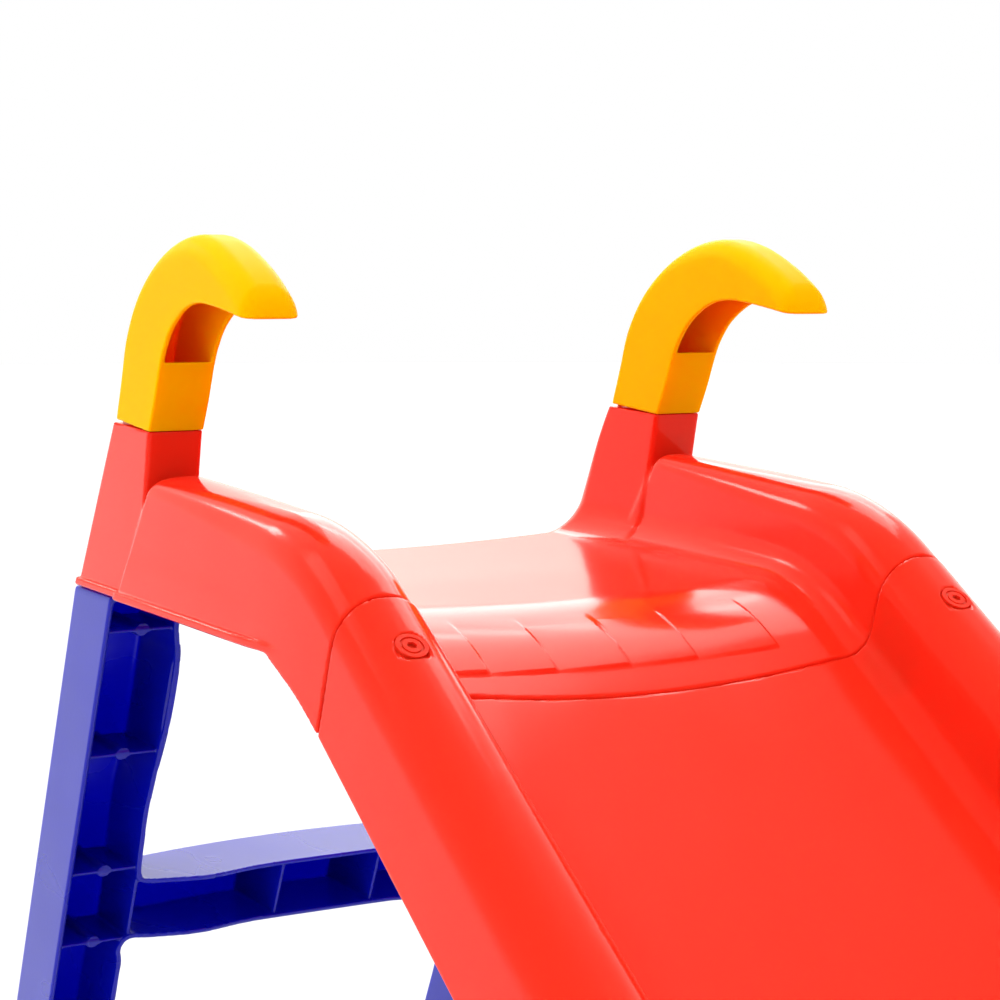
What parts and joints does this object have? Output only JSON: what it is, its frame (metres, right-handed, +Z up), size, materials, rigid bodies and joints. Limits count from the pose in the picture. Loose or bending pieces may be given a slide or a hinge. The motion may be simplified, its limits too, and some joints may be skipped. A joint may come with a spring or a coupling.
{
  "type": "straight slide",
  "caption": "Child's garden slide: ribbed ladder, low platform with hooked grab handles, and a straight railed chute in bolted sections ending in a level run-out.",
  "frame": {"origin": "on the floor, under the middle of the slide's length and width", "axes": "+X downhill from the ladder to the exit, +Y the slider's left, +Z up"},
  "size_m": [2.4496, 0.446, 1.184],
  "materials": {
    "red_plastic": "glossy injection-moulded polypropylene, self-coloured",
    "yellow_plastic": "satin injection-moulded polypropylene, self-coloured",
    "blue_plastic": "satin injection-moulded polypropylene, self-coloured",
    "zinc_steel": "zinc-plated steel"
  },
  "bodies": {
    "root": {"platform_shell": "red_plastic", "chute_upper": "red_plastic", "chute_lower": "red_plastic", "crest_bolt_left": "red_plastic", "crest_bolt_right": "red_plastic", "crest_nut_left": "red_plastic", "crest_nut_right": "red_plastic", "middle_bolt_left": "red_plastic", "middle_bolt_right": "red_plastic", "middle_nut_left": "red_plastic", "middle_nut_right": "red_plastic", "handle_left": "yellow_plastic", "handle_right": "yellow_plastic", "ladder": "blue_plastic", "handle_screw_left": "zinc_steel", "handle_screw_right": "zinc_steel", "ladder_bolt_left": "zinc_steel", "ladder_bolt_right": "zinc_steel", "ladder_nut_left": "zinc_steel", "ladder_nut_right": "zinc_steel"}
  },
  "joints": []
}
